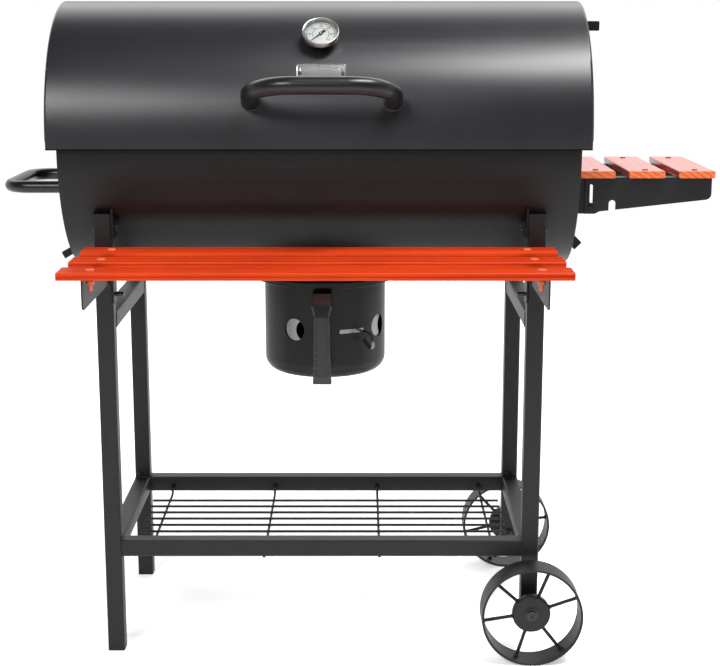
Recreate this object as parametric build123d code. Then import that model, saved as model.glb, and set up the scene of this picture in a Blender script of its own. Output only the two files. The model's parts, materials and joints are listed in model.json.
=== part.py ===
"""Barrel charcoal grill on a square-tube cart, built as separate pieces in one shared frame."""
from build123d import *
import math
import os

os.makedirs("parts", exist_ok=True)

# ---- overall reach from the barrel centre line (mm) ----
REACH_LEFT = 468.0
REACH_RIGHT = 570.0
REACH_FRONT = 396.0
REACH_REAR = 226.0
ROW = Pos((REACH_LEFT - REACH_RIGHT) / 2, (REACH_FRONT - REACH_REAR) / 2, 0)

# ---- cart frame ----
LEG = 25.0
LEG_WALL = 1.5
LEG_X = 309.0
LEG_Y = 158.5
LEG_TOP = 660.0
CAP_T = 1.0
FOOT_T = 1.5
LEG_END_WHEELED = 52.0
RAIL_BOTTOM = 149.0
SIDE_RAIL_BOTTOM = 490.0
FACE_X = LEG_X - LEG / 2
FACE_Y = LEG_Y - LEG / 2

# ---- wire shelf ----
WIRE = 4.0
SHELF_Z = 150.0
SHELF_WIRES = 7
SHELF_PITCH = 30.6
SHELF_LENGTH = 570.0
SHELF_CROSS_X = (-258.0, -86.0, 86.0, 258.0)

# ---- wheels ----
WHEEL_R = 74.0
WHEEL_WIDTH = 43.0
WHEEL_GAP = 12.0
HUB_R = 28.0
HUB_WIDTH = 14.0
AXLE_R = 4.0
SPOKE_R = 2.5
FRONT_SPOKES = (19.5, 68.0, 138.5, 189.5, 253.0, 308.0)
REAR_SPOKES = (7.5, 70.0, 133.0, 194.0, 249.0, 322.0)
WHEEL_Y = LEG_Y + LEG / 2 + WHEEL_GAP + WHEEL_WIDTH / 2

# ---- barrel ----
AXIS_Z = 764.0
SPLIT_Z = 752.0
BOWL_Z = 750.0
BOWL_R = 183.0
BOWL_HALF = 367.0
BOWL_T = 2.0
RIM_Z = 760.0
RIM_OUT = 3.0
LID_R = 192.0
LID_HALF = 381.0
LID_T = 1.5
PIN_Y = 200.0
PIN_Z = 752.0
PIN_R = 3.0
HINGE_X = (-230.0, 230.0)

# ---- vents ----
VENT_R = 42.0
VENT_HOLE_R = 11.0
VENT_HOLE_AT = 24.0
LID_VENT = (0.0, 878.0)
BOWL_VENT = (-10.0, 628.0)

# ---- grates ----
GRATE_Z = 733.3
COAL_Z = 650.0

# ---- ash cup ----
CUP_X = 3.1
CUP_R = 92.5
CUP_T = 1.5
CUP_BOTTOM = 399.0
CUP_TOP = 541.5
NECK_R = 88.0
COLLAR_R = 107.0
COLLAR_BOTTOM = 542.5
COLLAR_TOP = 550.5
AIR_Z = 474.0
AIR_HOLE_R = 17.0
AIR_ANGLES = (-29.0, 61.0, 151.0, 241.0)
SLOT_ANGLE = 28.3
LEVER_ANGLE = 36.0
RING_OFFSET = 12.5

# ---- front table and side shelf ----
TABLE_TOP = 613.0
TABLE_HALF = 332.5
TABLE_SLAT = 48.0
TABLE_PITCH = 87.75
TABLE_T = 10.0
TABLE_BOLT_X = 292.0
BRACKET_X = 302.5
SIDE_TOP = 715.0
SIDE_SLAT = 52.0
SIDE_PITCH = 72.0
SIDE_FIRST = 374.0
SIDE_HALF = 117.0
SIDE_T = 10.0
WEB_Y = 105.0
WEB_T = 2.0
FOLD_X = 392.0
FOLD_Z = 660.0
FOLD_R = 3.5

# ---- handles and gauge ----
HANDLE_X = 4.5
HANDLE_ANGLE = 16.4
HANDLE_R = 12.2
HANDLE_HALF = 99.0
HANDLE_OUT = 93.5
SIDE_HANDLE_R = 9.0
SIDE_HANDLE_Z = 690.0
SIDE_HANDLE_HALF = 93.0
GAUGE_X = 2.0
GAUGE_ANGLE = 45.1
GAUGE_R = 26.0
PLATE_X = 3.0
PLATE_ANGLE = 28.5
PLATE_RIVET = 30.0


def box(x0, x1, y0, y1, z0, z1):
    """Box between two corners."""
    mid = Pos((x0 + x1) / 2, (y0 + y1) / 2, (z0 + z1) / 2)
    return mid * Box(abs(x1 - x0), abs(y1 - y0), abs(z1 - z0))


def rod(p, q, r):
    """Round bar from p to q."""
    a = Vector(*p)
    b = Vector(*q)
    plane = Plane(origin=(a + b) / 2, z_dir=b - a)
    return plane * Cylinder(r, (b - a).length)


def wire(points, r, bend):
    """Round bar along a bent path."""
    path = FilletPolyline(*points, radius=bend)
    start = Plane(origin=path @ 0, z_dir=path % 0)
    return sweep(start * Circle(r), path=path)


def barrel(r, half):
    """Solid cylinder on the lid's axis."""
    return rod((-half, 0, AXIS_Z), (half, 0, AXIS_Z), r)


def drum(r, half):
    """Solid cylinder on the bowl's axis, a little below the lid's."""
    return rod((-half, 0, BOWL_Z), (half, 0, BOWL_Z), r)


def on_lid(angle, x=0.0, height=0.0):
    """Work plane on the lid skin, its normal pointing outward."""
    a = math.radians(angle)
    r = LID_R + height
    origin = (x, -r * math.cos(a), AXIS_Z + r * math.sin(a))
    return Plane(origin=origin, x_dir=(1, 0, 0), z_dir=(0, -math.cos(a), math.sin(a)))


def on_cup(angle, r, z):
    """Point at a bearing round the ash cup, measured from the front to the right."""
    a = math.radians(angle)
    return (r * math.sin(a), -r * math.cos(a), z)


def bolt(p, q, r, head_r, head_h, nut=True):
    """Dome-head bolt from p to q, with a nut near q."""
    a = Vector(*p)
    b = Vector(*q)
    plane = Plane(origin=a, z_dir=b - a)
    length = (b - a).length
    shank = plane * Pos(0, 0, length / 2) * Cylinder(r, length)
    head = plane * Pos(0, 0, -head_h / 2) * Cylinder(head_r, head_h)
    rim = head.faces().sort_by(Axis(a, b - a))[0].edges()
    made = shank + fillet(rim, head_h * 0.6)
    if nut:
        made += plane * Pos(0, 0, length - 4.5) * extrude(RegularPolygon(r * 1.8, 6), amount=2.5, both=True)
    return made


def save(node, shape):
    """Move a piece into the row frame and write it."""
    export_step(ROW * shape, "parts/" + node + ".step")


# ---------------------------------------------------------------- cart frame

def square_tube(length):
    """Square tube along Z, from z=0 up."""
    profile = RectangleRounded(LEG, LEG, 2.5) - RectangleRounded(LEG - 2 * LEG_WALL, LEG - 2 * LEG_WALL, 1.2)
    return extrude(profile, amount=length)


def drilled(shape, *fasteners):
    """Cut every fastener's own outline out of a piece that it passes through."""
    for group in fasteners:
        shape -= group.solids()
    return shape


def leg(x, y, bottom):
    """One leg, open below its cap and hollowed where the bowl rests against it."""
    tube = Pos(x, y, bottom) * square_tube(LEG_TOP - bottom - CAP_T)
    return tube - drum(BOWL_R + 0.3, BOWL_HALF)


def cap(x, y, z, thick, depth):
    """Plug whose plate starts at z and whose body goes depth further into the tube."""
    size = LEG - 2 * LEG_WALL - 0.5
    plate = Pos(x, y, z) * extrude(RectangleRounded(LEG, LEG, 2.5), amount=thick)
    body = Pos(x, y, z) * extrude(RectangleRounded(size, size, 1.8), amount=depth)
    return plate + body


def leg_caps():
    """Plastic plugs: four at the leg tops and one under each leg on the fixed side."""
    caps = []
    for x in (-LEG_X, LEG_X):
        for y in (-LEG_Y, LEG_Y):
            caps.append(cap(x, y, LEG_TOP, -CAP_T, -12.0) - drum(BOWL_R + 0.3, BOWL_HALF))
    for y in (-LEG_Y, LEG_Y):
        caps.append(cap(-LEG_X, y, 0, FOOT_T, 12.0))
    return Compound(children=caps)


def rail_x(y, bottom):
    """Rail between the left and right legs."""
    tube = Rot(0, 90, 0) * square_tube(2 * FACE_X)
    return Pos(-FACE_X, y, bottom + LEG / 2) * tube


def rail_y(x, bottom):
    """Rail between the front and rear legs."""
    tube = Rot(-90, 0, 0) * square_tube(2 * FACE_Y)
    return Pos(x, -FACE_Y, bottom + LEG / 2) * tube


def wire_shelf():
    """Seven long wires on four cross wires hooked into both long rails."""
    grid = Part()
    for k in range(SHELF_WIRES):
        y = (k - (SHELF_WIRES - 1) / 2) * SHELF_PITCH
        grid += rod((-SHELF_LENGTH / 2, y, SHELF_Z), (SHELF_LENGTH / 2, y, SHELF_Z), WIRE / 2)
    low = SHELF_Z - WIRE + 0.4
    edge = FACE_Y
    for x in SHELF_CROSS_X:
        points = [
            (x, edge + 6, RAIL_BOTTOM + 11),
            (x, edge - 9, RAIL_BOTTOM + 11),
            (x, edge - 9, low),
            (x, 9 - edge, low),
            (x, 9 - edge, RAIL_BOTTOM + 11),
            (x, -edge - 6, RAIL_BOTTOM + 11),
        ]
        grid += wire(points, WIRE / 2, 4.5)
    return grid


def frame_bolts():
    """Bolts that hold the rails to the legs."""
    made = []
    for y in (-LEG_Y, LEG_Y):
        side = 1 if y > 0 else -1
        for x in (-LEG_X, LEG_X):
            for dx in (-5.3, 5.3):
                a = (x + dx, y - side * LEG / 2, RAIL_BOTTOM + LEG + 5)
                b = (x + dx, y - side * (LEG / 2 - 8), RAIL_BOTTOM + LEG + 5)
                made.append(bolt(a, b, 1.6, 3.0, 1.6, nut=False))
    return Compound(children=made)


def axle_bolt(side):
    """Fixed stub axle outboard of a wheeled leg, with its spacer and nut."""
    hub_out = side * (WHEEL_Y + HUB_WIDTH / 2)
    hub_in = side * (WHEEL_Y - HUB_WIDTH / 2)
    face = side * (LEG_Y + LEG / 2)
    inner = side * (LEG_Y - LEG / 2)
    z = WHEEL_R
    made = rod((LEG_X, hub_out + side * 0.4, z), (LEG_X, inner - side * 12, z), AXLE_R)
    made += rod((LEG_X, hub_in - side * 0.4, z), (LEG_X, face, z), 8.0)
    head = Plane(origin=(LEG_X, hub_out + side * 0.4, z), z_dir=(0, side, 0))
    made += head * extrude(RegularPolygon(7.5, 6), amount=5.5)
    made += head * extrude(Circle(9.5), amount=1.2)
    nut = Plane(origin=(LEG_X, inner, z), z_dir=(0, -side, 0))
    made += nut * extrude(RegularPolygon(7.5, 6), amount=6.5)
    return made


# ---------------------------------------------------------------- wheels

def wheel_rim(side):
    """Flat-strip rim with rolled edges."""
    y0 = side * (WHEEL_Y - WHEEL_WIDTH / 2)
    y1 = side * (WHEEL_Y + WHEEL_WIDTH / 2)
    rim = rod((LEG_X, y0, WHEEL_R), (LEG_X, y1, WHEEL_R), WHEEL_R)
    rim -= rod((LEG_X, y0 - side, WHEEL_R), (LEG_X, y1 + side, WHEEL_R), WHEEL_R - 3.0)
    return rim


def wheel_spokes(side, angles):
    """Round spokes from inside the hub to the rim."""
    y = side * WHEEL_Y
    made = Part()
    for angle in angles:
        a = math.radians(angle)
        p = (LEG_X + 12 * math.cos(a), y, WHEEL_R + 12 * math.sin(a))
        r = WHEEL_R - 2.6
        q = (LEG_X + r * math.cos(a), y, WHEEL_R + r * math.sin(a))
        made += rod(p, q, SPOKE_R)
    return made


def wheel_hub(side, spokes):
    """Two pressed discs round a bush, clasping the spokes."""
    y = side * WHEEL_Y
    half = HUB_WIDTH / 2
    hub = rod((LEG_X, y - half, WHEEL_R), (LEG_X, y + half, WHEEL_R), HUB_R)
    rims = hub.edges().filter_by(GeomType.CIRCLE)
    hub = fillet(rims, 3.0)
    hub -= rod((LEG_X, y - half - 1, WHEEL_R), (LEG_X, y + half + 1, WHEEL_R), AXLE_R + 0.06)
    return hub - spokes


# ---------------------------------------------------------------- bowl

def vent_holes(shape, x, centre, turn):
    """Cut the ring of four air holes and nothing else."""
    for k in range(4):
        a = math.radians(turn + 90 * k)
        y = centre[0] + VENT_HOLE_AT * math.cos(a)
        z = centre[1] + VENT_HOLE_AT * math.sin(a)
        shape -= rod((x - 6, y, z), (x + 6, y, z), VENT_HOLE_R)
    return shape


def bowl():
    """Lower half barrel with flat ends, turned-out rim, ash opening and end vents."""
    cut = box(-500, 500, -300, 300, RIM_Z, RIM_Z + 400)
    shell = drum(BOWL_R, BOWL_HALF) - drum(BOWL_R - BOWL_T, BOWL_HALF - BOWL_T) - cut
    out_x = BOWL_HALF + RIM_OUT
    out_y = BOWL_R + RIM_OUT
    rim = box(-out_x, out_x, -out_y, out_y, RIM_Z - 2, RIM_Z)
    in_y = BOWL_R - BOWL_T
    rim -= box(-BOWL_HALF + BOWL_T, BOWL_HALF - BOWL_T, -in_y, in_y, RIM_Z - 3, RIM_Z + 1)
    shell += rim
    shell -= rod((CUP_X, 0, 550), (CUP_X, 0, 640), NECK_R - 6)
    for x in (-BOWL_HALF, BOWL_HALF):
        shell = vent_holes(shell, x, BOWL_VENT, 45)
    return shell


def bowl_lugs():
    """Plates and bolts that hang the bowl between the leg tops."""
    made = []
    body = drum(BOWL_R, BOWL_HALF)
    for sx in (-1, 1):
        for sy in (-1, 1):
            x0 = sx * (FACE_X - 2.5)
            x1 = sx * FACE_X
            lug = box(x0, x1, sy * (LEG_Y + 9), sy * 118, LEG_TOP - 36, LEG_TOP + 6) - body
            outer = (sx * (LEG_X + LEG / 2), sy * LEG_Y, LEG_TOP - 20)
            inner = (sx * (FACE_X - 12), sy * LEG_Y, LEG_TOP - 20)
            made.append(lug + bolt(outer, inner, 3.0, 6.5, 3.0))
    return Compound(children=made)


def bowl_neck():
    """Round neck under the ash opening with a skirted collar."""
    at = Pos(CUP_X, 0, 0)
    neck = rod((0, 0, 530), (0, 0, 640), NECK_R) - rod((0, 0, 525), (0, 0, 645), NECK_R - 2)
    flange = rod((0, 0, COLLAR_BOTTOM), (0, 0, COLLAR_TOP), COLLAR_R)
    top_edge = flange.edges().filter_by(GeomType.CIRCLE).sort_by(Axis.Z)[-1]
    flange = fillet(top_edge, 2.5)
    flange -= rod((0, 0, COLLAR_BOTTOM - 1), (0, 0, COLLAR_TOP - 2), COLLAR_R - 2)
    flange -= rod((0, 0, COLLAR_BOTTOM - 1), (0, 0, COLLAR_TOP + 1), NECK_R - 1)
    return at * (neck + flange) - drum(BOWL_R, BOWL_HALF)


def grate_ledges():
    """Four strips inside the bowl that carry the grates."""
    made = []
    inside = drum(BOWL_R - BOWL_T, BOWL_HALF - BOWL_T)
    for side in (-1, 1):
        for top, y_in in ((GRATE_Z - 0.3, 160.0), (COAL_Z, 122.0)):
            strip = box(-350, 350, side * y_in, side * 185, top - 2, top)
            strip += box(-350, 350, side * y_in, side * (y_in + 2), top - 10, top)
            made.append(strip & inside)
    return Compound(children=made)


def charcoal_grate():
    """Wire grate that carries the coals."""
    z = COAL_Z + 3
    half_x = 345.0
    half_y = 131.0
    made = Part()
    for y in (-half_y, -60, 60, half_y):
        made += rod((-half_x, y, z), (half_x, y, z), 3.0)
    for k in range(24):
        x = -half_x + 3 + k * (2 * half_x - 6) / 23
        made += rod((x, -half_y - 2, z + 3.5), (x, half_y + 2, z + 3.5), 2.5)
    return made


def cooking_grate(side):
    """One of two wire cooking grates resting on the upper ledges."""
    z = GRATE_Z + 3
    x0 = 4.0
    x1 = 358.0
    half_y = 168.0
    made = Part()
    for y in (-half_y, -70, 70, half_y):
        made += rod((side * x0, y, z), (side * x1, y, z), 3.0)
    for k in range(27):
        x = side * (x0 + 4 + k * (x1 - x0 - 8) / 26)
        made += rod((x, -half_y - 2, z + 3.5), (x, half_y + 2, z + 3.5), 2.5)
    return made


# ---------------------------------------------------------------- vents

def damper(side, half, centre, turn, tab_at, lean, tab_size):
    """Turning disc with four holes and a finger tab standing outward at tab_at."""
    x0 = side * (half + 0.4)
    x1 = side * (half + 1.9)
    disc = rod((x0, centre[0], centre[1]), (x1, centre[0], centre[1]), VENT_R)
    disc = vent_holes(disc, (x0 + x1) / 2, centre, turn)
    disc -= rod((x0 - 3, centre[0], centre[1]), (x1 + 3, centre[0], centre[1]), 3.06)
    out = Vector(0, tab_at[0] - centre[0], tab_at[1] - centre[1])
    middle = Vector((x0 + x1) / 2, *centre) + out.normalized() * (out.length + 37) / 2
    disc += Plane(origin=middle, x_dir=(1, 0, 0), z_dir=out) * Box(1.5, 12, out.length - 35)
    a = math.radians(lean)
    along = (side * math.cos(a), 0, math.sin(a))
    tab = Plane(origin=(x0, *tab_at), x_dir=along, z_dir=(0, -1, 0)) * Pos(tab_size[0] / 2 - 4, 0, 0)
    tab *= Box(tab_size[0] + 8, tab_size[1], 1.5)
    tab = fillet(tab.edges().filter_by(Axis.Y).group_by(Axis.X)[-1 if side > 0 else 0], 2.0)
    disc += tab & box(x0, side * (half + 60), -90, 20, 500, 980)
    return disc


def vent_rivet(side, half, centre):
    """Rivet that a damper turns on."""
    x = side * half
    shank = rod((x - side * 2, centre[0], centre[1]), (x + side * 2.4, centre[0], centre[1]), 3.0)
    head = rod((x + side * 2.3, centre[0], centre[1]), (x + side * 4.2, centre[0], centre[1]), 6.5)
    return shank + head


# ---------------------------------------------------------------- lid

def lid():
    """Upper half barrel with flat ends and an end vent."""
    body = barrel(LID_R, LID_HALF)
    body = fillet(body.edges().filter_by(GeomType.CIRCLE), 3.0)
    body -= barrel(LID_R - LID_T, LID_HALF - LID_T)
    body -= box(-500, 500, -300, 300, SPLIT_Z - 300, SPLIT_Z)
    body = vent_holes(body, LID_HALF, LID_VENT, 45)
    body -= on_lid(GAUGE_ANGLE, GAUGE_X) * Cylinder(4.0, 20)
    return body


def lid_handle():
    """Bent tube handle standing off the lid front."""
    plane = on_lid(HANDLE_ANGLE, HANDLE_X)
    points = [
        plane.from_local_coords(Vector(-HANDLE_HALF, 0, -6)),
        plane.from_local_coords(Vector(-HANDLE_HALF, 0, HANDLE_OUT)),
        plane.from_local_coords(Vector(HANDLE_HALF, 0, HANDLE_OUT)),
        plane.from_local_coords(Vector(HANDLE_HALF, 0, -6)),
    ]
    outer = wire(points, HANDLE_R, 62.0)
    inner = wire(points, HANDLE_R - 1.6, 62.0)
    return outer - inner - barrel(LID_R, LID_HALF)


def lid_fasteners():
    """Handle screws, plate rivets and the lid vent rivet."""
    made = []
    for x in (HANDLE_X - HANDLE_HALF, HANDLE_X + HANDLE_HALF):
        plane = on_lid(HANDLE_ANGLE, x)
        screw = plane * Pos(0, 0, 6) * Cylinder(HANDLE_R - 1.6, 8)
        screw += plane * Pos(0, 0, 0) * Cylinder(3.0, 12)
        screw -= barrel(LID_R, LID_HALF)
        nut = plane * Pos(0, 0, -5) * Cylinder(6.0, 6)
        made.append(screw)
        made.append(nut & barrel(LID_R - LID_T, LID_HALF - LID_T))
    for x in (PLATE_X - PLATE_RIVET, PLATE_X + PLATE_RIVET):
        plane = on_lid(PLATE_ANGLE, x)
        head = plane * Pos(0, 0, 1.9) * Cylinder(2.6, 1.6)
        made.append(head)
    made.append(vent_rivet(1, LID_HALF, LID_VENT))
    return Compound(children=made)


def name_plate():
    """Blank curved plate riveted on the lid front."""
    plane = on_lid(PLATE_ANGLE, PLATE_X)
    outline = plane * extrude(RectangleRounded(70, 30, 3.5), amount=8, both=True)
    return outline & (barrel(LID_R + 1.1, 100) - barrel(LID_R, 101))


def gauge_case():
    """Thermometer case with its stem and lock nut."""
    case = Pos(0, 0, 15) * Cylinder(GAUGE_R, 10)
    rims = case.edges().filter_by(GeomType.CIRCLE).sort_by(Axis.Z)
    case = fillet(rims[0], 4.5)
    case = fillet(case.edges().filter_by(GeomType.CIRCLE).sort_by(Axis.Z)[-1], 1.6)
    case -= Pos(0, 0, 17) * Cylinder(GAUGE_R - 3.6, 10)
    case -= Pos(0, 0, 19.0) * Cylinder(GAUGE_R - 2.0, 2.0)
    case += Pos(0, 0, -16) * Cylinder(3.8, 53)
    case += Pos(0, 0, 4.7) * extrude(RegularPolygon(9, 6), amount=3.7, both=True)
    return on_lid(GAUGE_ANGLE, GAUGE_X) * case


def gauge_dial():
    """Dial plate with the spindle that the pointer turns on."""
    dial = Pos(0, 0, 12.5) * Cylinder(GAUGE_R - 3.65, 0.96)
    dial += Pos(0, 0, 14.2) * Cylinder(1.0, 2.6)
    return on_lid(GAUGE_ANGLE, GAUGE_X) * dial


def gauge_needle():
    """Pointer on a small boss, its tip down and to the left."""
    tip = Polygon((-19.5, 0), (0, -1.3), (8, -2.4), (9, 0), (8, 2.4), (0, 1.3), align=None)
    needle = extrude(tip, amount=0.6)
    needle += Pos(0, 0, 0.2) * Cylinder(2.6, 1.8)
    needle -= Cylinder(1.05, 6)
    needle = Rot(0, 0, 45) * needle
    return on_lid(GAUGE_ANGLE, GAUGE_X) * Pos(0, 0, 14.0) * needle


def gauge_glass():
    """Flat glass seated in the case rim."""
    glass = Pos(0, 0, 18.8) * Cylinder(GAUGE_R - 2.05, 1.4)
    return on_lid(GAUGE_ANGLE, GAUGE_X) * glass


def hinge_bowl():
    """Fixed hinge knuckles on arms from the bowl, with their pins."""
    made = []
    for x in HINGE_X:
        part = Part()
        for side in (-1, 1):
            x0 = x + side * 11.5
            x1 = x + side * 26
            part += box(x0, x1, 168, PIN_Y + 2, 738, 745)
            part += box(x0, x1, 168, 184, 715, 745)
            part += box(x0, x1, PIN_Y - 3, PIN_Y + 6, 738, PIN_Z)
            part += rod((x0, PIN_Y, PIN_Z), (x1, PIN_Y, PIN_Z), 6.0)
        part += box(x - 26, x + 26, 168, 184, 715, 735)
        part -= drum(BOWL_R, BOWL_HALF)
        part += rod((x - 28, PIN_Y, PIN_Z), (x + 28, PIN_Y, PIN_Z), PIN_R)
        made.append(part)
    return Compound(children=made)


def hinge_lid():
    """Moving hinge leaves on the lid."""
    made = []
    for x in HINGE_X:
        leaf = box(x - 11, x + 11, 184, PIN_Y - 4, PIN_Z + 2, PIN_Z + 36)
        leaf += box(x - 11, x + 11, PIN_Y - 6, PIN_Y + 4, PIN_Z, PIN_Z + 6)
        leaf += rod((x - 11, PIN_Y, PIN_Z), (x + 11, PIN_Y, PIN_Z), 6.0)
        leaf -= rod((x - 12, PIN_Y, PIN_Z), (x + 12, PIN_Y, PIN_Z), PIN_R + 0.06)
        leaf -= barrel(LID_R, LID_HALF)
        made.append(leaf)
    return Compound(children=made)


# ---------------------------------------------------------------- ash cup

def ash_cup():
    """Round cup with air holes, a lever slot and small rests for the air ring."""
    cup = rod((0, 0, CUP_BOTTOM), (0, 0, CUP_TOP), CUP_R)
    low = cup.edges().filter_by(GeomType.CIRCLE).sort_by(Axis.Z)[0]
    cup = fillet(low, 22.0)
    hollow = rod((0, 0, CUP_BOTTOM + CUP_T), (0, 0, CUP_TOP + 20), CUP_R - CUP_T)
    low = hollow.edges().filter_by(GeomType.CIRCLE).sort_by(Axis.Z)[0]
    cup -= fillet(low, 20.5)
    bead = rod((0, 0, CUP_TOP - 4.5), (0, 0, CUP_TOP), CUP_R + 2)
    bead = fillet(bead.edges().filter_by(GeomType.CIRCLE), 1.6)
    cup += bead - rod((0, 0, CUP_TOP - 6), (0, 0, CUP_TOP + 5), CUP_R - CUP_T)
    for angle in AIR_ANGLES:
        cup -= rod(on_cup(angle, 70, AIR_Z), on_cup(angle, 120, AIR_Z), AIR_HOLE_R)
    for k in range(12):
        angle = SLOT_ANGLE - 11 + 2 * k
        cup -= Rot(0, 0, angle) * box(-2.2, 2.2, -120, -70, AIR_Z - 5.5, AIR_Z + 1.5)
    for angle in (SLOT_ANGLE - 11.5, SLOT_ANGLE + 11.5):
        cup -= rod(on_cup(angle, 70, AIR_Z - 2), on_cup(angle, 120, AIR_Z - 2), 3.5)
    for angle in (20.0, 140.0, 260.0):
        rest = box(-5, 5, -CUP_R + 0.5, -CUP_R + 5, AIR_Z - 26, AIR_Z - 22.4)
        cup += Rot(0, 0, angle) * rest
    return cup


def cup_handle():
    """Moulded grip on the front of the cup: wide head, waisted loop and a sunk front panel."""
    side = Polyline(
        (-88, CUP_TOP - 6), (-118, CUP_TOP - 6), (-127, CUP_TOP - 22), (-128.5, CUP_TOP - 40),
        (-128.5, CUP_BOTTOM + 14), (-123, CUP_BOTTOM + 1), (-113, CUP_BOTTOM + 1),
        (-111, CUP_BOTTOM + 24), (-88, CUP_BOTTOM + 24),
        close=True,
    )
    front = Polyline(
        (-13.5, CUP_TOP), (-15, CUP_TOP - 24), (-11.3, CUP_TOP - 38), (-12.6, CUP_BOTTOM + 24),
        (-14.3, CUP_BOTTOM), (14.3, CUP_BOTTOM), (12.6, CUP_BOTTOM + 24), (11.3, CUP_TOP - 38),
        (15, CUP_TOP - 24), (13.5, CUP_TOP),
        close=True,
    )
    solid = extrude(Plane.YZ * make_face(side), amount=20, both=True)
    solid &= extrude(Plane.XZ * make_face(front), amount=140)
    gap = box(-20, 20, -114, -80, CUP_BOTTOM + 44, CUP_TOP - 26)
    solid -= fillet(gap.edges().filter_by(Axis.X), 6.0)
    corners = solid.edges().filter_by(lambda e: e.center().Y < -116 and abs(e.center().X) > 8)
    solid = fillet(corners, 2.4)
    panel = Plane.XZ * Pos(0, (CUP_TOP + CUP_BOTTOM) / 2 - 12) * RectangleRounded(16, 92, 7.5)
    ring = panel - Plane.XZ * Pos(0, (CUP_TOP + CUP_BOTTOM) / 2 - 12) * RectangleRounded(13.6, 89.6, 6.3)
    solid -= Pos(0, -127.3, 0) * extrude(ring, amount=5)
    solid -= rod((0, 0, 380), (0, 0, 580), CUP_R)
    return Rot(0, 0, -1) * solid


def air_ring():
    """Sliding ring inside the cup with its curled lever."""
    r_out = CUP_R - CUP_T - 0.4
    ring = rod((0, 0, AIR_Z - 22), (0, 0, AIR_Z + 22), r_out)
    ring -= rod((0, 0, AIR_Z - 23), (0, 0, AIR_Z + 23), r_out - 1.2)
    for angle in AIR_ANGLES:
        turned = angle + RING_OFFSET
        ring -= rod(on_cup(turned, 70, AIR_Z), on_cup(turned, 120, AIR_Z), AIR_HOLE_R)
    z = AIR_Z - 2
    path = Polyline((r_out - 1.0, z), (110, z))
    path += ThreePointArc((110, z), (122.0, z - 6.5), (124, z - 18))
    path += ThreePointArc((124, z - 18), (121.5, z - 23), (116, z - 22))
    path += Line((116, z - 22), (101, z - 12))
    strip = trace(path, 1.4)
    lever = extrude(Plane(origin=(0, 0, 0), x_dir=(0, -1, 0), z_dir=(-1, 0, 0)) * strip, amount=2.9, both=True)
    return ring + Rot(0, 0, LEVER_ANGLE) * lever


# ---------------------------------------------------------------- front table

def table_slat(k):
    """Front table slat k, counted from the front."""
    y0 = -REACH_FRONT + k * TABLE_PITCH
    z0 = TABLE_TOP - TABLE_T
    slat = box(-TABLE_HALF, TABLE_HALF, y0, y0 + TABLE_SLAT, z0, TABLE_TOP)
    slat = fillet(slat.edges().filter_by(Axis.X), 1.5)
    for x in (-TABLE_BOLT_X, TABLE_BOLT_X):
        slat -= rod((x, y0 + TABLE_SLAT / 2, z0 - 5), (x, y0 + TABLE_SLAT / 2, TABLE_TOP + 5), 3.1)
    return slat


def table_bracket(side):
    """Angle under the slat ends, stepped in to bolt on the inner face of the front leg."""
    top = TABLE_TOP - TABLE_T
    low = top - 42
    front = -REACH_FRONT + 12
    back = -(LEG_Y + LEG / 2) - 2
    web = box(side * BRACKET_X, side * (BRACKET_X - 2), front, back, low, top)
    web = fillet(web.edges().filter_by(Axis.X).sort_by(Axis.Y)[0:2].sort_by(Axis.Z)[0], 9.0)
    part = web + box(side * BRACKET_X, side * 282, front, back, top - 2, top)
    part += box(side * BRACKET_X, side * (FACE_X - 2), back - 2, back, low, top)
    tongue = box(side * (FACE_X - 2), side * FACE_X, back - 2, -LEG_Y + LEG / 2, 530, top)
    tongue = fillet(tongue.edges().filter_by(Axis.X).sort_by(Axis.Z)[0:2], 12.0)
    part += tongue
    for k in range(3):
        y = -REACH_FRONT + k * TABLE_PITCH + TABLE_SLAT / 2
        x = side * TABLE_BOLT_X
        part -= rod((x, y, top - 10), (x, y, top + 5), 3.1)
    return part


def table_bolts():
    """Low-headed bolts through the slat ends."""
    made = []
    for side in (-1, 1):
        for k in range(3):
            y = -REACH_FRONT + k * TABLE_PITCH + TABLE_SLAT / 2
            x = side * TABLE_BOLT_X
            made.append(bolt((x, y, TABLE_TOP), (x, y, TABLE_TOP - 27), 3.0, 6.0, 1.5, nut=False))
            nut = Pos(x, y, TABLE_TOP - 16.5) * extrude(RegularPolygon(5.6, 6), amount=2.4, both=True)
            made[-1] += nut
    return Compound(children=made)


def bracket_bolts():
    """Leg bolts of the table brackets."""
    made = []
    for side in (-1, 1):
        outer = (side * (LEG_X + LEG / 2), -LEG_Y, 543)
        inner = (side * (FACE_X - 14), -LEG_Y, 543)
        made.append(bolt(outer, inner, 3.0, 6.5, 3.0, nut=False))
    return Compound(children=made)


# ---------------------------------------------------------------- side shelf and side handle

def side_slat(k):
    """Side shelf slat k, counted from the barrel."""
    x0 = SIDE_FIRST + k * SIDE_PITCH
    z0 = SIDE_TOP - SIDE_T
    slat = box(x0, x0 + SIDE_SLAT, -SIDE_HALF, SIDE_HALF, z0, SIDE_TOP)
    slat = fillet(slat.edges().filter_by(Axis.Y), 1.5)
    for y in (-WEB_Y + 9, WEB_Y - 9):
        x = x0 + SIDE_SLAT / 2
        slat -= rod((x, y, z0 - 5), (x, y, SIDE_TOP + 5), 2.6)
    return slat


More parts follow.
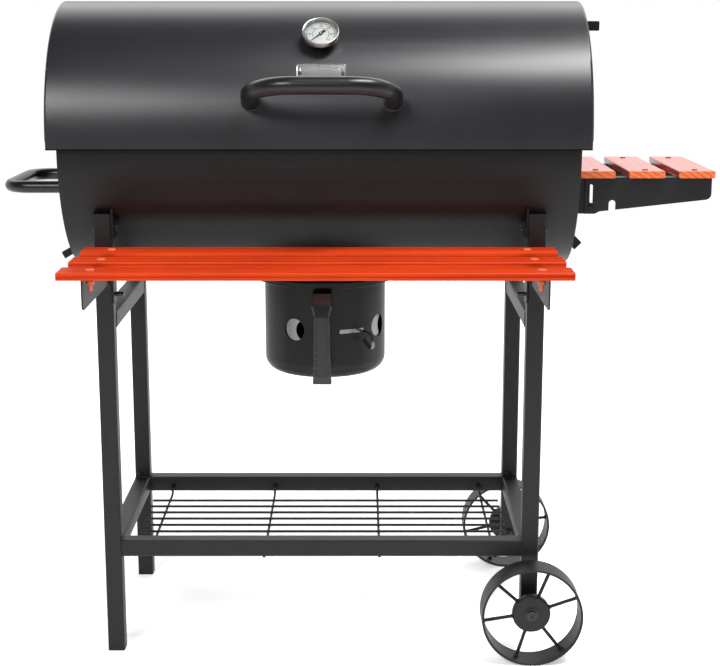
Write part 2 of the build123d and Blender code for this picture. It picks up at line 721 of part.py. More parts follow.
def side_web(side):
    """Tapered bracket under the side slats with its upright slot and notch."""
    top = SIDE_TOP - SIDE_T
    outline = Polyline(
        (384, top), (384, 652), (399, 652), (406, 655.5), (568, 673.3), (568, top),
        close=True,
    )
    face = make_face(Plane.XZ * outline)
    web = extrude(face, amount=WEB_T / 2, both=True)
    low_end = web.edges().filter_by(Axis.Y).sort_by_distance((568, 0, 673.3))[0]
    web = fillet(low_end, 9.0)
    notch = box(419, 429, -5, 5, 640, 667) + rod((424, -5, 667), (424, 5, 667), 5.0)
    slot = box(FOLD_X - FOLD_R - 0.06, FOLD_X + FOLD_R + 0.06, -5, 5, FOLD_Z, FOLD_Z + 34)
    for z in (FOLD_Z, FOLD_Z + 34):
        slot += rod((FOLD_X, -5, z), (FOLD_X, 5, z), FOLD_R + 0.06)
    web = web - notch - slot
    web += box(384, 568, -side * WEB_T / 2, -side * 20, top - 2, top)
    web = Pos(0, side * WEB_Y, 0) * web
    for k in range(3):
        x = SIDE_FIRST + k * SIDE_PITCH + SIDE_SLAT / 2
        web -= rod((x, side * (WEB_Y - 9), top - 10), (x, side * (WEB_Y - 9), top + 5), 3.1)
    return web


def side_bolts():
    made = []
    for k in range(3):
        x = SIDE_FIRST + k * SIDE_PITCH + SIDE_SLAT / 2
        for y in (-WEB_Y + 9, WEB_Y - 9):
            one = bolt((x, y, SIDE_TOP), (x, y, SIDE_TOP - 24), 2.5, 4.2, 1.2, nut=False)
            one += Pos(x, y, SIDE_TOP - 15) * extrude(RegularPolygon(5.6, 6), amount=2.4, both=True)
            made.append(one)
    return Compound(children=made)


def shelf_mounts():
    """Ears on the bowl end, just inside the webs, with the pins that the slots hang on."""
    made = []
    for side in (-1, 1):
        near = side * (WEB_Y - WEB_T / 2 - 0.5)
        far = near - side * 2.0
        ear = box(BOWL_HALF, FOLD_X - 0.5, near, far, 652, 702)
        ear += rod((FOLD_X, near, FOLD_Z), (FOLD_X, far, FOLD_Z), 8.0)
        ear += box(BOWL_HALF, BOWL_HALF + 2, near, side * (WEB_Y - 21), 652, 702)
        ear += rod((FOLD_X, far, FOLD_Z), (FOLD_X, side * (WEB_Y + WEB_T / 2 + 0.6), FOLD_Z), FOLD_R)
        ear += rod((FOLD_X, far, FOLD_Z), (FOLD_X, far - side * 2.5, FOLD_Z), 6.5)
        for z in (664, 690):
            y = side * (WEB_Y - 13)
            ear += rod((BOWL_HALF, y, z), (BOWL_HALF + 3.5, y, z), 4.5)
        made.append(ear)
    return Compound(children=made)


def side_handle():
    """Bent tube handle on the left bowl end."""
    out = -REACH_LEFT + SIDE_HANDLE_R
    points = [
        (-BOWL_HALF, -SIDE_HANDLE_HALF, SIDE_HANDLE_Z),
        (out, -SIDE_HANDLE_HALF, SIDE_HANDLE_Z),
        (out, SIDE_HANDLE_HALF, SIDE_HANDLE_Z),
        (-BOWL_HALF, SIDE_HANDLE_HALF, SIDE_HANDLE_Z),
    ]
    return wire(points, SIDE_HANDLE_R, 34.0) - wire(points, SIDE_HANDLE_R - 1.5, 34.0)


def fixed_rivets():
    """Vent rivets of the two bowl ends."""
    return Compound(children=[vent_rivet(side, BOWL_HALF, BOWL_VENT) for side in (-1, 1)])


frame_bolts_made = frame_bolts()
lugs = bowl_lugs()
table_bolts_made = table_bolts()
bracket_bolts_made = bracket_bolts()
axles = {sign: axle_bolt(sign) for sign in (-1, 1)}
shelf = wire_shelf()
bowl_rivets = fixed_rivets()
lid_fixings = lid_fasteners()

front_groups = (frame_bolts_made, lugs, bracket_bolts_made)
rear_groups = (frame_bolts_made, lugs)
save("leg_front_left", drilled(leg(-LEG_X, -LEG_Y, FOOT_T), *front_groups))
save("leg_rear_left", drilled(leg(-LEG_X, LEG_Y, FOOT_T), *rear_groups))
save("leg_front_right", drilled(leg(LEG_X, -LEG_Y, LEG_END_WHEELED), axles[-1], *front_groups))
save("leg_rear_right", drilled(leg(LEG_X, LEG_Y, LEG_END_WHEELED), axles[1], *rear_groups))
save("leg_caps", leg_caps())
save("rail_front", drilled(rail_x(-LEG_Y, RAIL_BOTTOM), shelf))
save("rail_rear", drilled(rail_x(LEG_Y, RAIL_BOTTOM), shelf))
save("rail_left", rail_y(-LEG_X, RAIL_BOTTOM))
save("rail_right", rail_y(LEG_X, RAIL_BOTTOM))
save("side_rail_left", rail_y(-LEG_X, SIDE_RAIL_BOTTOM))
save("side_rail_right", rail_y(LEG_X, SIDE_RAIL_BOTTOM))
save("wire_shelf", shelf)
save("frame_bolts", frame_bolts_made)
for name, sign, angles in (("front", -1, FRONT_SPOKES), ("rear", 1, REAR_SPOKES)):
    spokes = wheel_spokes(sign, angles)
    save("axle_bolt_" + name, axles[sign])
    save("wheel_rim_" + name, drilled(wheel_rim(sign), spokes))
    save("wheel_spokes_" + name, spokes)
    save("wheel_hub_" + name, wheel_hub(sign, spokes))
save("bowl", drilled(bowl(), bowl_rivets))
save("bowl_lugs", lugs)
save("bowl_neck", bowl_neck())
save("bowl_vent_rivets", bowl_rivets)
save("grate_ledges", grate_ledges())
save("charcoal_grate", charcoal_grate())
save("cooking_grate_left", cooking_grate(-1))
save("cooking_grate_right", cooking_grate(1))
save("damper_bowl_left", damper(-1, BOWL_HALF, BOWL_VENT, 20, (-40, 594), -30, (27, 11)))
save("damper_bowl_right", damper(1, BOWL_HALF, BOWL_VENT, 75, (-44, 613), -45, (25, 15)))
save("damper_lid", damper(1, LID_HALF, LID_VENT, 10, (-34, 920), 0, (27, 14)))
save("lid_shell", drilled(lid(), lid_fixings))
save("lid_handle", lid_handle())
save("lid_fasteners", lid_fixings)
save("name_plate", name_plate())
save("gauge_case", gauge_case())
save("gauge_dial", gauge_dial())
save("gauge_needle", gauge_needle())
save("gauge_glass", gauge_glass())
save("hinge_bowl", hinge_bowl())
save("hinge_lid", hinge_lid())
save("ash_cup", Pos(CUP_X, 0, 0) * ash_cup())
save("cup_handle", Pos(CUP_X, 0, 0) * cup_handle())
save("air_ring", Pos(CUP_X, 0, 0) * air_ring())
for index, name in enumerate(("front", "middle", "rear")):
    save("table_slat_" + name, table_slat(index))
save("table_bracket_left", drilled(table_bracket(-1), table_bolts_made, bracket_bolts_made))
save("table_bracket_right", drilled(table_bracket(1), table_bolts_made, bracket_bolts_made))
save("table_bolts", table_bolts_made)
save("bracket_bolts", bracket_bolts_made)
for index, name in enumerate(("inner", "middle", "outer")):
    save("side_slat_" + name, side_slat(index))
save("side_web_front", side_web(-1))
save("side_web_rear", side_web(1))
save("side_bolts", side_bolts())
save("shelf_mounts", shelf_mounts())
save("side_handle", side_handle())
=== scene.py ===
"""Looks for the barrel charcoal grill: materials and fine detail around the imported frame."""
import json
import math
import random

import bmesh
import bpy
from mathutils import Matrix, Vector


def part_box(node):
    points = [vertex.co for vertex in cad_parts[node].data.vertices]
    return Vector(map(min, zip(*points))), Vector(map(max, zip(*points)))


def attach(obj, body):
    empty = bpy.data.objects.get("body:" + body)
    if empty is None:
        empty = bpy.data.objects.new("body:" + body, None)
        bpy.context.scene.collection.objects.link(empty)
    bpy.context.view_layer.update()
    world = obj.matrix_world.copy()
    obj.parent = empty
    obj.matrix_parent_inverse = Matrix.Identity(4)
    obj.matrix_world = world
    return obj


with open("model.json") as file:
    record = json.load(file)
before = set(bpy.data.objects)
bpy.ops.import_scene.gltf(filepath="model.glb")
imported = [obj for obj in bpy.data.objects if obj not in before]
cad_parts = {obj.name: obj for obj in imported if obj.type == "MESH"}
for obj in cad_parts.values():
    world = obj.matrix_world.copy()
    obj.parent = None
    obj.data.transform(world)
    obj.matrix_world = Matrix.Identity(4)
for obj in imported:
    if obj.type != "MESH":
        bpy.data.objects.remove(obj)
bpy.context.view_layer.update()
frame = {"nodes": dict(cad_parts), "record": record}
nodes = frame["nodes"]
scene = bpy.context.scene
MM = 0.001
random.seed(7)


# ------------------------------------------------------------------ shader helpers

class Shader:
    """A material's node tree with short ways to add and join nodes."""

    def __init__(self, name):
        self.material = bpy.data.materials.new(name)
        self.material.use_nodes = True
        self.tree = self.material.node_tree
        self.main = self.tree.nodes["Principled BSDF"]

    def set(self, **values):
        """Set plain values on the main shader, by socket name with _ for spaces."""
        for key, value in values.items():
            self.main.inputs[key.replace("_", " ")].default_value = value

    def node(self, kind, **inputs):
        """Add a node, with values or joined sockets as its inputs."""
        made = self.tree.nodes.new("ShaderNode" + kind)
        for key, value in inputs.items():
            socket = made.inputs[key.replace("_", " ")]
            if isinstance(value, bpy.types.NodeSocket):
                self.tree.links.new(value, socket)
            else:
                socket.default_value = value
        return made

    def join(self, source, target):
        """Join a socket to an input of the main shader."""
        self.tree.links.new(source, self.main.inputs[target])

    def place(self, scale=(1, 1, 1)):
        """Object coordinates in metres, stretched by scale."""
        coord = self.node("TexCoord")
        mapping = self.node("Mapping", Vector=coord.outputs["Object"])
        mapping.inputs["Scale"].default_value = scale
        return mapping.outputs["Vector"]

    def noise(self, scale, detail=3.0, rough=0.5, stretch=(1, 1, 1)):
        """Noise in object space, from 0 to 1."""
        where = self.place(stretch)
        made = self.node("TexNoise", Vector=where, Scale=scale, Detail=detail, Roughness=rough)
        return made.outputs["Fac"]

    def ramp(self, value, stops):
        """Colour ramp through (position, colour) stops."""
        made = self.node("ValToRGB", Fac=value)
        ramp = made.color_ramp
        while len(ramp.elements) < len(stops):
            ramp.elements.new(0.5)
        for element, (at, colour) in zip(ramp.elements, stops):
            element.position = at
            element.color = (*colour, 1.0)
        return made.outputs["Color"]

    def span(self, value, low, high):
        """Map 0..1 to low..high."""
        made = self.node("MapRange", Value=value, To_Min=low, To_Max=high)
        return made.outputs["Result"]

    def mix(self, share, a, b, kind="MIX"):
        """Mix two colours, or multiply them."""
        made = self.tree.nodes.new("ShaderNodeMix")
        made.data_type = "RGBA"
        made.blend_type = kind
        for index, value in ((0, share), (6, a), (7, b)):
            if isinstance(value, bpy.types.NodeSocket):
                self.tree.links.new(value, made.inputs[index])
            else:
                made.inputs[index].default_value = value if index == 0 else (*value, 1.0)
        return made.outputs[2]

    def bump(self, height, strength, distance):
        """Surface relief from a height; distance is in metres."""
        made = self.node("Bump", Height=height, Strength=strength, Distance=distance)
        self.join(made.outputs["Normal"], "Normal")


def paint(name, colour, rough, grain_scale, grain, spread=0.08, specular=0.5):
    """Coated sheet metal: uneven gloss, fine orange peel and a little dust in the colour."""
    s = Shader(name)
    broad = s.noise(6.0, 4.0, 0.55)
    fine = s.noise(grain_scale, 2.0, 0.5)
    dusty = tuple(c * 1.25 + 0.0015 for c in colour)
    s.join(s.ramp(broad, [(0.35, colour), (0.8, dusty)]), "Base Color")
    s.join(s.span(broad, rough - spread / 2, rough + spread / 2), "Roughness")
    s.bump(fine, grain, 0.0004)
    s.set(Specular_IOR_Level=specular)
    return s.material


def wood(name, along, coat, tint=(1.0, 1.0, 1.0)):
    """Orange-red stained pine: one 3-D ring pattern gives the long grain and the end grain."""
    s = Shader(name)
    axis = "XYZ".index(along)
    stretch = [1.0, 1.0, 1.0]
    stretch[axis] = 0.03
    where = s.place(stretch)
    rings = s.node("TexWave", Vector=where, Scale=46.0, Distortion=2.2, Detail=2.0, Detail_Scale=2.5)
    rings.wave_type = "RINGS"
    rings.rings_direction = along
    grain = s.ramp(
        rings.outputs["Color"],
        [(0.0, (0.36, 0.018, 0.0025)), (0.22, (0.50, 0.034, 0.0035)), (0.75, (0.56, 0.046, 0.005))],
    )
    fibre_stretch = [300.0, 300.0, 300.0]
    fibre_stretch[axis] = 2.0
    fibre = s.noise(1.0, 3.0, 0.6, fibre_stretch)
    streak = s.ramp(fibre, [(0.28, (0.70, 0.58, 0.50)), (0.50, (1.0, 1.0, 1.0))])
    broad = s.ramp(s.noise(5.0, 2.0), [(0.3, (0.84, 0.78, 0.74)), (0.7, (1.0, 1.0, 1.0))])
    face = s.mix(1.0, s.mix(0.75, grain, streak, "MULTIPLY"), broad, "MULTIPLY")
    face = s.mix(1.0, face, tint, "MULTIPLY")
    cut = s.ramp(
        rings.outputs["Color"],
        [(0.0, (0.46, 0.075, 0.016)), (0.35, (0.60, 0.115, 0.026)), (1.0, (0.66, 0.140, 0.034))],
    )
    normal = s.node("SeparateXYZ", Vector=s.node("NewGeometry").outputs["Normal"])
    end = s.node("Math", Value=normal.outputs[along])
    end.operation = "ABSOLUTE"
    share = s.node("MapRange", Value=end.outputs[0], From_Min=0.6, From_Max=0.85)
    s.join(s.mix(share.outputs["Result"], face, cut), "Base Color")
    s.join(s.span(fibre, 0.34, 0.50), "Roughness")
    s.bump(fibre, 0.16, 0.0004)
    s.set(Coat_Weight=coat, Coat_Roughness=0.16, Coat_IOR=1.5, Specular_IOR_Level=0.12 + 0.3 * coat)
    return s.material


def metal(name, colour, rough, brush=None, spread=0.1):
    """Bare or plated metal, brushed along one axis if asked."""
    s = Shader(name)
    stretch = [260.0, 260.0, 260.0] if brush else [60.0, 60.0, 60.0]
    if brush:
        stretch["XYZ".index(brush)] = 6.0
    lines = s.noise(1.0, 3.0, 0.6, stretch)
    broad = s.noise(30.0, 3.0, 0.5)
    darker = tuple(c * 0.78 for c in colour)
    s.join(s.ramp(broad, [(0.3, darker), (0.7, colour)]), "Base Color")
    s.join(s.span(lines, rough - spread / 2, rough + spread / 2), "Roughness")
    s.bump(lines, 0.12, 0.0002)
    s.set(Metallic=1.0)
    return s.material


def plastic(name, colour, rough):
    """Moulded plastic with a fine spark-eroded texture."""
    s = Shader(name)
    fine = s.noise(1600.0, 2.0, 0.5)
    broad = s.noise(20.0, 3.0, 0.5)
    s.join(s.ramp(broad, [(0.3, colour), (0.8, tuple(c * 1.4 + 0.002 for c in colour))]), "Base Color")
    s.join(s.span(broad, rough - 0.05, rough + 0.06), "Roughness")
    s.bump(fine, 0.25, 0.0003)
    return s.material


def print_ink(name, colour, rough=0.55):
    """Flat printed or enamelled face with slight mottling."""
    s = Shader(name)
    broad = s.noise(90.0, 2.0, 0.5)
    s.join(s.ramp(broad, [(0.2, tuple(c * 0.93 for c in colour)), (0.8, colour)]), "Base Color")
    s.join(s.span(broad, rough - 0.04, rough + 0.04), "Roughness")
    return s.material


def clear_glass(name):
    """Thin clear glass with the faintest unevenness."""
    s = Shader(name)
    s.bump(s.noise(40.0, 1.0, 0.5), 0.01, 0.0005)
    s.join(s.span(s.noise(60.0, 2.0, 0.5), 0.01, 0.04), "Roughness")
    s.set(Base_Color=(0.97, 0.98, 0.98, 1.0), Transmission_Weight=1.0, IOR=1.45)
    return s.material


LID_PAINT = paint("lid_paint", (0.0050, 0.0053, 0.0075), 0.36, 900.0, 0.12)
BOWL_PAINT = paint("bowl_paint", (0.0022, 0.0020, 0.0019), 0.42, 900.0, 0.16, specular=0.27)
FRAME_PAINT = paint("frame_paint", (0.0027, 0.0028, 0.0032), 0.48, 1500.0, 0.40, specular=0.36)
HANDLE_PAINT = paint("handle_paint", (0.0040, 0.0041, 0.0047), 0.32, 700.0, 0.08, specular=0.4)
# Near-black matte paint: painted shade for the shadow gap under the lid's bottom edge; the wire ends
# use it too.
HEM_SHADOW_BLACK = paint("hem_shadow_black", (0.0008, 0.0008, 0.0008), 0.7, 700.0, 0.1, specular=0.08)
WOOD_X = wood("slat_wood_long", "X", 0.0)
WOOD_Y = wood("slat_wood_side", "Y", 0.75, (1.0, 1.05, 1.15))
HARDWARE = paint("black_hardware", (0.007, 0.007, 0.0075), 0.34, 700.0, 0.15)
# Slat bolt heads: orange-red wood stain over them, lightened to a pale pink as a painted highlight for
# the glare on their tops. The same colour also covers the shanks and nuts under the table.
SCREW_STAIN_AND_GLARE = paint("stained_bolt", (0.56, 0.13, 0.06), 0.30, 500.0, 0.2)
SCREW_RED = paint("stained_screw", (0.14, 0.022, 0.010), 0.42, 500.0, 0.2)
GRATE = metal("plated_wire", (0.42, 0.42, 0.43), 0.36)
ZINC = metal("galvanised_sheet", (0.26, 0.27, 0.265), 0.30)
CHROME = metal("gauge_case_steel", (0.47, 0.46, 0.44), 0.30)
PLATE = metal("plate_steel", (0.36, 0.37, 0.37), 0.24, "X")
DIAL = print_ink("dial_white", (0.80, 0.82, 0.79))
INK = print_ink("dial_ink", (0.03, 0.03, 0.03))
MARK = print_ink("dial_mark", (0.70, 0.62, 0.20))
GLASS = clear_glass("gauge_glass")
PLASTIC = plastic("cup_plastic", (0.0010, 0.0010, 0.0011), 0.26)

LOOK = {
    "frame_black": FRAME_PAINT,
    "barrel_black": BOWL_PAINT,
    "red_wood": WOOD_X,
    "dark_hardware": HARDWARE,
    "grate_steel": GRATE,
    "zinc_steel": ZINC,
    "gauge_chrome": CHROME,
    "plate_steel": PLATE,
    "dial_white": DIAL,
    "needle_black": INK,
    "gauge_glass": GLASS,
    "black_plastic": PLASTIC,
}
LOOK_BY_NODE = {
    "lid_shell": LID_PAINT,
    "lid_handle": HANDLE_PAINT,
    "side_handle": HANDLE_PAINT,
    "side_bolts": SCREW_RED,
    # wood stain with a painted highlight for glare
    "table_bolts": SCREW_STAIN_AND_GLARE,
    "side_slat_inner": WOOD_Y,
    "side_slat_middle": WOOD_Y,
    "side_slat_outer": WOOD_Y,
}


def shade_smooth(obj, angle=35.0):
    """Smooth shading that keeps edges sharper than angle."""
    mesh = obj.data
    mesh.polygons.foreach_set("use_smooth", [True] * len(mesh.polygons))
    mesh.set_sharp_from_angle(angle=math.radians(angle))


def dress_nodes():
    """Give every CAD node its material."""
    for part in frame["record"]["subparts"]:
        name = part["node"]
        obj = nodes[name]
        obj.data.materials.clear()
        obj.data.materials.append(LOOK_BY_NODE.get(name, LOOK[part["material_slot"]]))
        shade_smooth(obj)


dress_nodes()


# ------------------------------------------------------------------ mesh helpers

def piece(name, bm, material, body):
    """Turn a bmesh into a piece that rides on one body."""
    bmesh.ops.recalc_face_normals(bm, faces=bm.faces)
    mesh = bpy.data.meshes.new(name)
    bm.to_mesh(mesh)
    bm.free()
    mesh.materials.append(material)
    obj = bpy.data.objects.new(name, mesh)
    scene.collection.objects.link(obj)
    shade_smooth(obj)
    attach(obj, body)


def bead(bm, points, radius, sides=8, closed=False, wave=0.0):
    """Sweep a round section along a line of points; wave makes it lumpy like a weld."""
    points = [Vector(p) for p in points]
    count = len(points)
    rings = []
    side = None
    for k, p in enumerate(points):
        if closed:
            run = points[(k + 1) % count] - points[k - 1]
        else:
            run = points[min(k + 1, count - 1)] - points[max(k - 1, 0)]
        run.normalize()
        if side is None:
            side = run.orthogonal().normalized()
        side = (side - run * side.dot(run)).normalized()
        up = run.cross(side)
        r = radius * (1 + random.uniform(-wave, wave))
        ring = []
        for j in range(sides):
            a = 2 * math.pi * j / sides
            ring.append(bm.verts.new(p + side * (r * math.cos(a)) + up * (r * math.sin(a))))
        rings.append(ring)
    spans = count if closed else count - 1
    for k in range(spans):
        here, there = rings[k], rings[(k + 1) % count]
        for j in range(sides):
            n = (j + 1) % sides
            bm.faces.new((here[j], here[n], there[n], there[j]))
    if not closed:
        bm.faces.new(rings[0][::-1])
        bm.faces.new(rings[-1])


def circle(centre, axis, radius, count=48, start=0.0, sweep=2 * math.pi):
    """Points round a circle, or along part of one."""
    axis = Vector(axis).normalized()
    side = Vector((1, 0, 0)) if abs(axis.x) < 0.9 else Vector((0, 1, 0))
    side = (side - axis * side.dot(axis)).normalized()
    up = axis.cross(side)
    whole = abs(sweep - 2 * math.pi) < 1e-6
    steps = count if whole else count - 1
    angles = [start + sweep * k / steps for k in range(count)]
    return [Vector(centre) + (side * math.cos(a) + up * math.sin(a)) * radius for a in angles]


def line(a, b, pitch=2.0 * MM):
    """Evenly spaced points from one end to the other."""
    a, b = Vector(a), Vector(b)
    steps = max(2, int((b - a).length / pitch))
    return [a.lerp(b, k / steps) for k in range(steps + 1)]


def joint(name):
    """One joint of the record."""
    return next(j for j in frame["record"]["behaviour"]["joints"] if j["name"] == name)


# ------------------------------------------------------------------ lid and bowl

LID_LO, LID_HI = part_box("lid_shell")
LID_R = 192.0 * MM
BOWL_R = 183.0 * MM
LID_HANDLE_R = 12.2 * MM
LID_HANDLE_ANGLE = 16.4
SIDE_HANDLE_R = 9.0 * MM
PLATE_X = 3.0 * MM
PLATE_ANGLE = 28.5
PLATE_FACE = 1.15 * MM
PLATE_CORNER = 0.16
MID_X = (LID_LO.x + LID_HI.x) / 2
MID_Y = joint("ash_pot_drop")["pos_m"][1]
LID_AXIS_Z = LID_HI.z - LID_R


def on_lid(angle, x, height=0.0):
    """Place and outward direction on the lid skin at an angle above the horizontal."""
    a = math.radians(angle)
    out = Vector((0, -math.cos(a), math.sin(a)))
    return Vector((MID_X + x, MID_Y, LID_AXIS_Z)) + out * (LID_R + height), out


def lid_hem():
    """Folded edge along the open bottom of the lid, painted near-black as painted shade for the shadow
    gap between lid and bowl.
    """
    bm = bmesh.new()
    x0, x1 = LID_LO.x + 0.8 * MM, LID_HI.x - 0.8 * MM
    y = LID_R - 1.0 * MM
    z = LID_LO.z + 0.5 * MM
    corners = [(x0, MID_Y - y, z), (x1, MID_Y - y, z), (x1, MID_Y + y, z), (x0, MID_Y + y, z)]
    bead(bm, corners, 1.1 * MM, closed=True)
    piece("lid_hem", bm, HEM_SHADOW_BLACK, "lid")


def end_seams():
    """Folded seams where the round skins meet the flat ends."""
    bm = bmesh.new()
    for x in (LID_LO.x + 0.3 * MM, LID_HI.x - 0.3 * MM):
        arc = circle((x, MID_Y, LID_AXIS_Z), (1, 0, 0), LID_R - 3.0 * MM, 120, 0.0, math.pi)
        bead(bm, arc, 0.9 * MM)
    piece("lid_end_seams", bm, LID_PAINT, "lid")
    lo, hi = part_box("bowl")
    bm = bmesh.new()
    for x in (lo.x + 3.3 * MM, hi.x - 3.3 * MM):
        centre = (x, MID_Y, lo.z + BOWL_R)
        arc = circle(centre, (1, 0, 0), BOWL_R - 3.0 * MM, 120, 0.0, -math.pi)
        bead(bm, arc, 0.9 * MM)
    piece("bowl_end_seams", bm, BOWL_PAINT, "stand")


def lid_handle_feet():
    """Weld collars where the bent tube meets the lid."""
    lo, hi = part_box("lid_handle")
    mid = (lo.x + hi.x) / 2 - MID_X
    half = (hi.x - lo.x) / 2 - LID_HANDLE_R
    bm = bmesh.new()
    for side in (-1, 1):
        place, out = on_lid(LID_HANDLE_ANGLE, mid + side * half, 0.5 * MM)
        bead(bm, circle(place, out, LID_HANDLE_R + 0.5 * MM, 60), 1.3 * MM, wave=0.12, closed=True)
    piece("lid_handle_welds", bm, LID_PAINT, "lid")


def side_handle_feet():
    """Weld collars on the bowl end under the bent side handle."""
    lo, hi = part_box("side_handle")
    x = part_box("bowl")[0].x + 2.6 * MM
    z = (lo.z + hi.z) / 2
    bm = bmesh.new()
    for y in (lo.y + SIDE_HANDLE_R, hi.y - SIDE_HANDLE_R):
        collar = circle((x, y, z), (1, 0, 0), SIDE_HANDLE_R + 0.5 * MM, 48)
        bead(bm, collar, 1.2 * MM, wave=0.12, closed=True)
    piece("side_handle_welds", bm, FRAME_PAINT, "stand")


# ------------------------------------------------------------------ plate and gauge

def plate_rim():
    """Raised rim and a plain inner panel line on the blank name plate."""
    bm = bmesh.new()
    count = 96
    for half_w, half_h, radius in ((33.6, 13.6, 0.55), (29.0, 9.6, 0.28)):
        points = []
        for k in range(count):
            a = 2 * math.pi * k / count
            c, s = math.cos(a), math.sin(a)
            u = math.copysign(abs(c) ** PLATE_CORNER, c) * half_w * MM
            v = math.copysign(abs(s) ** PLATE_CORNER, s) * half_h * MM
            angle = PLATE_ANGLE + math.degrees(v / LID_R)
            points.append(on_lid(angle, PLATE_X + u, PLATE_FACE)[0])
        bead(bm, points, radius * MM, 6, closed=True)
    piece("plate_rim", bm, PLATE, "lid")


def pointer():
    """Centre of the pointer and the direction that the gauge faces."""
    turn = joint("needle_turn")
    return Vector(turn["pos_m"]), -Vector(turn["axis"]).normalized()


def dial_space():
    """Matrix from flat dial drawings in millimetres to the face of the gauge."""
    centre, out = pointer()
    right = Vector((1, 0, 0))
    up = out.cross(right)
    place = centre - out * 0.98 * MM
    rotation = Matrix((right, up, out)).transposed().to_4x4()
    return Matrix.Translation(place) @ rotation @ Matrix.Scale(MM, 4)


def flat_bar(bm, space, a, b, width):
    """Thin printed bar between two points of the dial drawing."""
    a, b = Vector((*a, 0)), Vector((*b, 0))
    across = Vector((0, 0, 1)).cross(b - a).normalized() * (width / 2)
    low = [a + across, a - across, b - across, b + across]
    lower = [bm.verts.new(space @ p) for p in low]
    upper = [bm.verts.new(space @ (p + Vector((0, 0, 0.08)))) for p in low]
    bm.faces.new(upper)
    bm.faces.new(lower[::-1])
    for k in range(4):
        n = (k + 1) % 4
        bm.faces.new((lower[k], lower[n], upper[n], upper[k]))


SCALE_START = 225.0
SCALE_SWEEP = 270.0
SCALE_R = 20.4
INNER_ARC_R = 11.6
TICKS = 60
NUMBERS = 7
NUMBER_STEP = 50
NUMBER_R = 15.1


def dial_point(share, radius):
    """Point on the dial at a share of the scale, which runs clockwise from lower left."""
    a = math.radians(SCALE_START - SCALE_SWEEP * share)
    return (radius * math.cos(a), radius * math.sin(a))


def number(text, size):
    """Mesh of a centred number lying in the XY plane."""
    curve = bpy.data.curves.new("digits", "FONT")
    curve.body = text
    curve.size = size
    curve.extrude = 0.04
    curve.align_x = "CENTER"
    curve.align_y = "CENTER"
    obj = bpy.data.objects.new("digits", curve)
    scene.collection.objects.link(obj)
    graph = bpy.context.evaluated_depsgraph_get()
    mesh = bpy.data.meshes.new_from_object(obj.evaluated_get(graph))
    bpy.data.objects.remove(obj)
    bpy.data.curves.remove(curve)
    return mesh


def dial_scale():
    """Ticks, scale arcs, numbers and a pale mark printed on the dial."""
    space = dial_space()
    bm = bmesh.new()
    for k in range(TICKS + 1):
        inner, width = (17.6, 0.5) if k % 10 == 0 else (18.8, 0.22)
        flat_bar(bm, space, dial_point(k / TICKS, inner), dial_point(k / TICKS, SCALE_R), width)
    for radius, width in ((SCALE_R, 0.35), (INNER_ARC_R, 0.5)):
        for k in range(TICKS):
            start, end = dial_point(k / TICKS, radius), dial_point((k + 1.05) / TICKS, radius)
            flat_bar(bm, space, start, end, width)
    piece("dial_ticks", bm, INK, "lid")
    bm = bmesh.new()
    for k in range(NUMBERS):
        place = Matrix.Translation((*dial_point(k / (NUMBERS - 1), NUMBER_R), 0.0))
        mesh = number(str(NUMBER_STEP * k), 3.9)
        mesh.transform(space @ place)
        bm.from_mesh(mesh)
        bpy.data.meshes.remove(mesh)
    piece("dial_numbers", bm, INK, "lid")
    bm = bmesh.new()
    flat_bar(bm, space, (-1.1, 19.3), (1.1, 19.3), 2.2)
    piece("dial_mark", bm, MARK, "lid")


def gauge_bezel():
    """Rolled lip round the front of the case."""
    centre, out = pointer()
    bm = bmesh.new()
    bead(bm, circle(centre + out * 5.7 * MM, out, 24.9 * MM, 96), 0.9 * MM, 10, closed=True)
    piece("gauge_bezel", bm, CHROME, "lid")


# ------------------------------------------------------------------ wheels and cart

FRONT_SPOKES = (19.5, 68.0, 138.5, 189.5, 253.0, 308.0)
REAR_SPOKES = (7.5, 70.0, 133.0, 194.0, 249.0, 322.0)
SPOKE_R = 2.5 * MM
HUB_EDGE = 28.6 * MM
SHELF_CROSS_X = (-258.0 * MM, -86.0 * MM, 86.0 * MM, 258.0 * MM)
CUP_R = 92.5 * MM
NOTCHES = 9
NOTCH_PITCH = 7.6 * MM


def wheel_detail(end, angles):
    """Rolled rim edges, spoke welds and the turned end of the axle bolt."""
    body = "wheel_" + end
    centre = Vector(joint(body + "_spin")["pos_m"])
    lo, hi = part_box("wheel_rim_" + end)
    mid = (lo.y + hi.y) / 2
    radius = (hi.x - lo.x) / 2
    bm = bmesh.new()
    for y in (lo.y + 1.5 * MM, hi.y - 1.5 * MM):
        ring = circle((centre.x, y, centre.z), (0, 1, 0), radius - 2.0 * MM, 120)
        bead(bm, ring, 1.5 * MM, 8, closed=True)
    piece("rim_edges_" + end, bm, FRAME_PAINT, body)
    bm = bmesh.new()
    for angle in angles:
        a = math.radians(angle)
        out = Vector((math.cos(a), 0, math.sin(a)))
        for at, size in ((radius - 3.7 * MM, 1.5), (HUB_EDGE, 1.1)):
            place = Vector((centre.x, mid, centre.z)) + out * at
            bead(bm, circle(place, out, SPOKE_R, 14), size * MM, 8, closed=True, wave=0.25)
    piece("spoke_welds_" + end, bm, FRAME_PAINT, body)
    lo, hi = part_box("axle_bolt_" + end)
    face = lo.y if end == "front" else hi.y
    bm = bmesh.new()
    for size in (4.6, 2.9, 1.4):
        ring = circle((centre.x, face, centre.z), (0, 1, 0), size * MM, 28)
        bead(bm, ring, 0.55 * MM, closed=True)
    piece("axle_end_" + end, bm, HARDWARE, "stand")


def upright_weld(bm, x, y, lo, hi):
    """Weld bead up one corner of a tube's end."""
    bead(bm, line((x, y, lo.z + 1.5 * MM), (x, y, hi.z - 1.5 * MM)), 1.0 * MM, wave=0.25)


